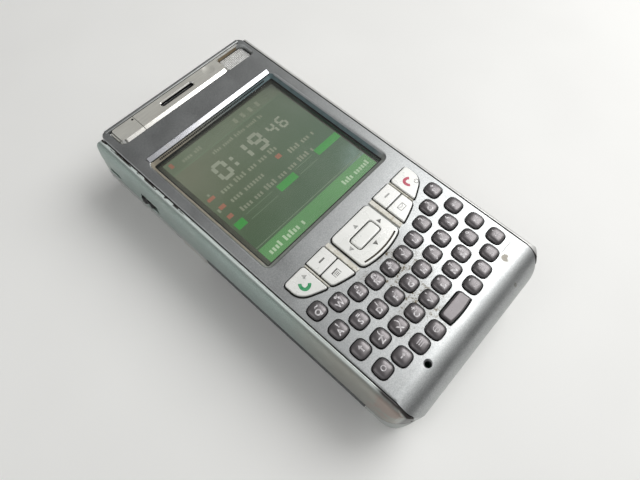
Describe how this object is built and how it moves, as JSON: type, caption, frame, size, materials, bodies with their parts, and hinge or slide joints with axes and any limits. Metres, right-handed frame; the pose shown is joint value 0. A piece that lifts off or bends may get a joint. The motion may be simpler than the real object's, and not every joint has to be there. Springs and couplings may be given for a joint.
{
  "type": "personal digital assistant",
  "caption": "Handheld personal digital assistant with a square touch display, navigation keys, a full letter keyboard, side controls, a pull-out stylus and a removable battery cover.",
  "frame": {"origin": "centre of the flat back, on the lowest plane", "axes": "+X to the right as seen by the user, +Y along the length towards the earpiece, +Z out of the display"},
  "size_m": [0.0626, 0.1186, 0.023],
  "materials": {
    "front_paint": "metallic grey paint, satin, lighter towards the keyboard",
    "side_paint": "pale silver-green satin paint, chipped along the edges",
    "rear_plastic": "silver-grey moulded plastic",
    "door_plastic": "dark grey fine-textured plastic",
    "key_plastic": "dark grey glossy domed caps with pale legends",
    "nav_plastic": "pearl silver caps, slightly worn",
    "polished_metal": "warm silver, brushed face and polished edges",
    "mesh_metal": "pale woven mesh",
    "window_glass": "clear touch panel with a soft haze",
    "display_cell": "lit picture in greens behind the touch panel",
    "switch_plastic": "black",
    "board_laminate": "green solder resist with bright shields",
    "battery_wrap": "aluminium cell in a printed wrap"
  },
  "bodies": {
    "casing": {"front_cover": "front_paint", "mid_frame": "side_paint", "rear_cover": "rear_plastic", "battery_pack": "battery_wrap", "main_board": "board_laminate", "display_module": "display_cell", "touch_panel": "window_glass", "earpiece_bar": "polished_metal", "speaker_grille": "mesh_metal"},
    "stylus": {"stylus": "polished_metal"},
    "battery_cover": {"battery_cover": "door_plastic"},
    "volume_rocker": {"volume_rocker": "polished_metal"},
    "side_switch": {"side_switch": "switch_plastic"},
    "direction_pad": {"direction_pad": "nav_plastic"},
    "ok_key": {"ok_key": "nav_plastic"},
    "call_key": {"call_key": "nav_plastic"},
    "end_key": {"end_key": "nav_plastic"},
    "softkey_left": {"softkey_left": "nav_plastic"},
    "softkey_right": {"softkey_right": "nav_plastic"},
    "menu_key": {"menu_key": "nav_plastic"},
    "mail_key": {"mail_key": "nav_plastic"},
    "key_q": {"key_q": "key_plastic"},
    "key_w": {"key_w": "key_plastic"},
    "key_e": {"key_e": "key_plastic"},
    "key_r": {"key_r": "key_plastic"},
    "key_t": {"key_t": "key_plastic"},
    "key_y": {"key_y": "key_plastic"},
    "key_u": {"key_u": "key_plastic"},
    "key_i": {"key_i": "key_plastic"},
    "key_o": {"key_o": "key_plastic"},
    "key_p": {"key_p": "key_plastic"},
    "key_a": {"key_a": "key_plastic"},
    "key_s": {"key_s": "key_plastic"},
    "key_d": {"key_d": "key_plastic"},
    "key_f": {"key_f": "key_plastic"},
    "key_g": {"key_g": "key_plastic"},
    "key_h": {"key_h": "key_plastic"},
    "key_j": {"key_j": "key_plastic"},
    "key_k": {"key_k": "key_plastic"},
    "key_l": {"key_l": "key_plastic"},
    "key_delete": {"key_delete": "key_plastic"},
    "key_shift": {"key_shift": "key_plastic"},
    "key_z": {"key_z": "key_plastic"},
    "key_x": {"key_x": "key_plastic"},
    "key_c": {"key_c": "key_plastic"},
    "key_v": {"key_v": "key_plastic"},
    "key_b": {"key_b": "key_plastic"},
    "key_n": {"key_n": "key_plastic"},
    "key_m": {"key_m": "key_plastic"},
    "key_comma": {"key_comma": "key_plastic"},
    "key_enter": {"key_enter": "key_plastic"},
    "key_fn": {"key_fn": "key_plastic"},
    "key_tab": {"key_tab": "key_plastic"},
    "key_menu": {"key_menu": "key_plastic"},
    "key_globe": {"key_globe": "key_plastic"},
    "key_period": {"key_period": "key_plastic"},
    "key_zero": {"key_zero": "key_plastic"},
    "key_symbol": {"key_symbol": "key_plastic"},
    "key_accent": {"key_accent": "key_plastic"},
    "key_space": {"key_space": "key_plastic"}
  },
  "joints": [
    {"name": "stylus_slide", "type": "slide", "parent": "casing", "child": "stylus", "axis": [0, 1, 0], "range_m": [0, 0.104]},
    {"name": "battery_cover_lift", "type": "slide", "parent": "casing", "child": "battery_cover", "axis": [0, 0, -1], "range_m": [0, 0.012]},
    {"name": "volume_rock", "type": "hinge", "parent": "casing", "child": "volume_rocker", "pos_m": [-0.0286, 0.0186, 0.0057], "axis": [0, 0, 1], "range_deg": [-3, 3], "stiffness_Nm_per_rad": 0.002},
    {"name": "side_switch_slide", "type": "slide", "parent": "casing", "child": "side_switch", "axis": [0, -1, 0], "range_m": [0, 0.002]},
    {"name": "direction_pad_rock", "type": "hinge", "parent": "casing", "child": "direction_pad", "pos_m": [0, -0.0191, 0.0212], "axis": [1, 0, 0], "range_deg": [-3, 3], "stiffness_Nm_per_rad": 0.002},
    {"name": "ok_key_press", "type": "slide", "parent": "casing", "child": "ok_key", "axis": [0, 0, -1], "range_m": [0, 0.0004], "stiffness_N_per_m": 10, "springref_m": -0.0005},
    {"name": "call_key_press", "type": "slide", "parent": "casing", "child": "call_key", "axis": [0, 0, -1], "range_m": [0, 0.0004], "stiffness_N_per_m": 10, "springref_m": -0.0005},
    {"name": "end_key_press", "type": "slide", "parent": "casing", "child": "end_key", "axis": [0, 0, -1], "range_m": [0, 0.0004], "stiffness_N_per_m": 10, "springref_m": -0.0005},
    {"name": "softkey_left_press", "type": "slide", "parent": "casing", "child": "softkey_left", "axis": [0, 0, -1], "range_m": [0, 0.0004], "stiffness_N_per_m": 10, "springref_m": -0.0005},
    {"name": "softkey_right_press", "type": "slide", "parent": "casing", "child": "softkey_right", "axis": [0, 0, -1], "range_m": [0, 0.0004], "stiffness_N_per_m": 10, "springref_m": -0.0005},
    {"name": "menu_key_press", "type": "slide", "parent": "casing", "child": "menu_key", "axis": [0, 0, -1], "range_m": [0, 0.0004], "stiffness_N_per_m": 10, "springref_m": -0.0005},
    {"name": "mail_key_press", "type": "slide", "parent": "casing", "child": "mail_key", "axis": [0, 0, -1], "range_m": [0, 0.0004], "stiffness_N_per_m": 10, "springref_m": -0.0005},
    {"name": "key_q_press", "type": "slide", "parent": "casing", "child": "key_q", "axis": [0, 0, -1], "range_m": [0, 0.0005], "stiffness_N_per_m": 5, "springref_m": -0.0005},
    {"name": "key_w_press", "type": "slide", "parent": "casing", "child": "key_w", "axis": [0, 0, -1], "range_m": [0, 0.0005], "stiffness_N_per_m": 5, "springref_m": -0.0005},
    {"name": "key_e_press", "type": "slide", "parent": "casing", "child": "key_e", "axis": [0, 0, -1], "range_m": [0, 0.0005], "stiffness_N_per_m": 5, "springref_m": -0.0005},
    {"name": "key_r_press", "type": "slide", "parent": "casing", "child": "key_r", "axis": [0, 0, -1], "range_m": [0, 0.0005], "stiffness_N_per_m": 5, "springref_m": -0.0005},
    {"name": "key_t_press", "type": "slide", "parent": "casing", "child": "key_t", "axis": [0, 0, -1], "range_m": [0, 0.0005], "stiffness_N_per_m": 5, "springref_m": -0.0005},
    {"name": "key_y_press", "type": "slide", "parent": "casing", "child": "key_y", "axis": [0, 0, -1], "range_m": [0, 0.0005], "stiffness_N_per_m": 5, "springref_m": -0.0005},
    {"name": "key_u_press", "type": "slide", "parent": "casing", "child": "key_u", "axis": [0, 0, -1], "range_m": [0, 0.0005], "stiffness_N_per_m": 5, "springref_m": -0.0005},
    {"name": "key_i_press", "type": "slide", "parent": "casing", "child": "key_i", "axis": [0, 0, -1], "range_m": [0, 0.0005], "stiffness_N_per_m": 5, "springref_m": -0.0005},
    {"name": "key_o_press", "type": "slide", "parent": "casing", "child": "key_o", "axis": [0, 0, -1], "range_m": [0, 0.0005], "stiffness_N_per_m": 5, "springref_m": -0.0005},
    {"name": "key_p_press", "type": "slide", "parent": "casing", "child": "key_p", "axis": [0, 0, -1], "range_m": [0, 0.0005], "stiffness_N_per_m": 5, "springref_m": -0.0005},
    {"name": "key_a_press", "type": "slide", "parent": "casing", "child": "key_a", "axis": [0, 0, -1], "range_m": [0, 0.0005], "stiffness_N_per_m": 5, "springref_m": -0.0005},
    {"name": "key_s_press", "type": "slide", "parent": "casing", "child": "key_s", "axis": [0, 0, -1], "range_m": [0, 0.0005], "stiffness_N_per_m": 5, "springref_m": -0.0005},
    {"name": "key_d_press", "type": "slide", "parent": "casing", "child": "key_d", "axis": [0, 0, -1], "range_m": [0, 0.0005], "stiffness_N_per_m": 5, "springref_m": -0.0005},
    {"name": "key_f_press", "type": "slide", "parent": "casing", "child": "key_f", "axis": [0, 0, -1], "range_m": [0, 0.0005], "stiffness_N_per_m": 5, "springref_m": -0.0005},
    {"name": "key_g_press", "type": "slide", "parent": "casing", "child": "key_g", "axis": [0, 0, -1], "range_m": [0, 0.0005], "stiffness_N_per_m": 5, "springref_m": -0.0005},
    {"name": "key_h_press", "type": "slide", "parent": "casing", "child": "key_h", "axis": [0, 0, -1], "range_m": [0, 0.0005], "stiffness_N_per_m": 5, "springref_m": -0.0005},
    {"name": "key_j_press", "type": "slide", "parent": "casing", "child": "key_j", "axis": [0, 0, -1], "range_m": [0, 0.0005], "stiffness_N_per_m": 5, "springref_m": -0.0005},
    {"name": "key_k_press", "type": "slide", "parent": "casing", "child": "key_k", "axis": [0, 0, -1], "range_m": [0, 0.0005], "stiffness_N_per_m": 5, "springref_m": -0.0005},
    {"name": "key_l_press", "type": "slide", "parent": "casing", "child": "key_l", "axis": [0, 0, -1], "range_m": [0, 0.0005], "stiffness_N_per_m": 5, "springref_m": -0.0005},
    {"name": "key_delete_press", "type": "slide", "parent": "casing", "child": "key_delete", "axis": [0, 0, -1], "range_m": [0, 0.0005], "stiffness_N_per_m": 5, "springref_m": -0.0005},
    {"name": "key_shift_press", "type": "slide", "parent": "casing", "child": "key_shift", "axis": [0, 0, -1], "range_m": [0, 0.0005], "stiffness_N_per_m": 5, "springref_m": -0.0005},
    {"name": "key_z_press", "type": "slide", "parent": "casing", "child": "key_z", "axis": [0, 0, -1], "range_m": [0, 0.0005], "stiffness_N_per_m": 5, "springref_m": -0.0005},
    {"name": "key_x_press", "type": "slide", "parent": "casing", "child": "key_x", "axis": [0, 0, -1], "range_m": [0, 0.0005], "stiffness_N_per_m": 5, "springref_m": -0.0005},
    {"name": "key_c_press", "type": "slide", "parent": "casing", "child": "key_c", "axis": [0, 0, -1], "range_m": [0, 0.0005], "stiffness_N_per_m": 5, "springref_m": -0.0005},
    {"name": "key_v_press", "type": "slide", "parent": "casing", "child": "key_v", "axis": [0, 0, -1], "range_m": [0, 0.0005], "stiffness_N_per_m": 5, "springref_m": -0.0005},
    {"name": "key_b_press", "type": "slide", "parent": "casing", "child": "key_b", "axis": [0, 0, -1], "range_m": [0, 0.0005], "stiffness_N_per_m": 5, "springref_m": -0.0005},
    {"name": "key_n_press", "type": "slide", "parent": "casing", "child": "key_n", "axis": [0, 0, -1], "range_m": [0, 0.0005], "stiffness_N_per_m": 5, "springref_m": -0.0005},
    {"name": "key_m_press", "type": "slide", "parent": "casing", "child": "key_m", "axis": [0, 0, -1], "range_m": [0, 0.0005], "stiffness_N_per_m": 5, "springref_m": -0.0005},
    {"name": "key_comma_press", "type": "slide", "parent": "casing", "child": "key_comma", "axis": [0, 0, -1], "range_m": [0, 0.0005], "stiffness_N_per_m": 5, "springref_m": -0.0005},
    {"name": "key_enter_press", "type": "slide", "parent": "casing", "child": "key_enter", "axis": [0, 0, -1], "range_m": [0, 0.0005], "stiffness_N_per_m": 5, "springref_m": -0.0005},
    {"name": "key_fn_press", "type": "slide", "parent": "casing", "child": "key_fn", "axis": [0, 0, -1], "range_m": [0, 0.0005], "stiffness_N_per_m": 5, "springref_m": -0.0005},
    {"name": "key_tab_press", "type": "slide", "parent": "casing", "child": "key_tab", "axis": [0, 0, -1], "range_m": [0, 0.0005], "stiffness_N_per_m": 5, "springref_m": -0.0005},
    {"name": "key_menu_press", "type": "slide", "parent": "casing", "child": "key_menu", "axis": [0, 0, -1], "range_m": [0, 0.0005], "stiffness_N_per_m": 5, "springref_m": -0.0005},
    {"name": "key_globe_press", "type": "slide", "parent": "casing", "child": "key_globe", "axis": [0, 0, -1], "range_m": [0, 0.0005], "stiffness_N_per_m": 5, "springref_m": -0.0005},
    {"name": "key_period_press", "type": "slide", "parent": "casing", "child": "key_period", "axis": [0, 0, -1], "range_m": [0, 0.0005], "stiffness_N_per_m": 5, "springref_m": -0.0005},
    {"name": "key_zero_press", "type": "slide", "parent": "casing", "child": "key_zero", "axis": [0, 0, -1], "range_m": [0, 0.0005], "stiffness_N_per_m": 5, "springref_m": -0.0005},
    {"name": "key_symbol_press", "type": "slide", "parent": "casing", "child": "key_symbol", "axis": [0, 0, -1], "range_m": [0, 0.0005], "stiffness_N_per_m": 5, "springref_m": -0.0005},
    {"name": "key_accent_press", "type": "slide", "parent": "casing", "child": "key_accent", "axis": [0, 0, -1], "range_m": [0, 0.0005], "stiffness_N_per_m": 5, "springref_m": -0.0005},
    {"name": "key_space_press", "type": "slide", "parent": "casing", "child": "key_space", "axis": [0, 0, -1], "range_m": [0, 0.0005], "stiffness_N_per_m": 5, "springref_m": -0.0005}
  ]
}
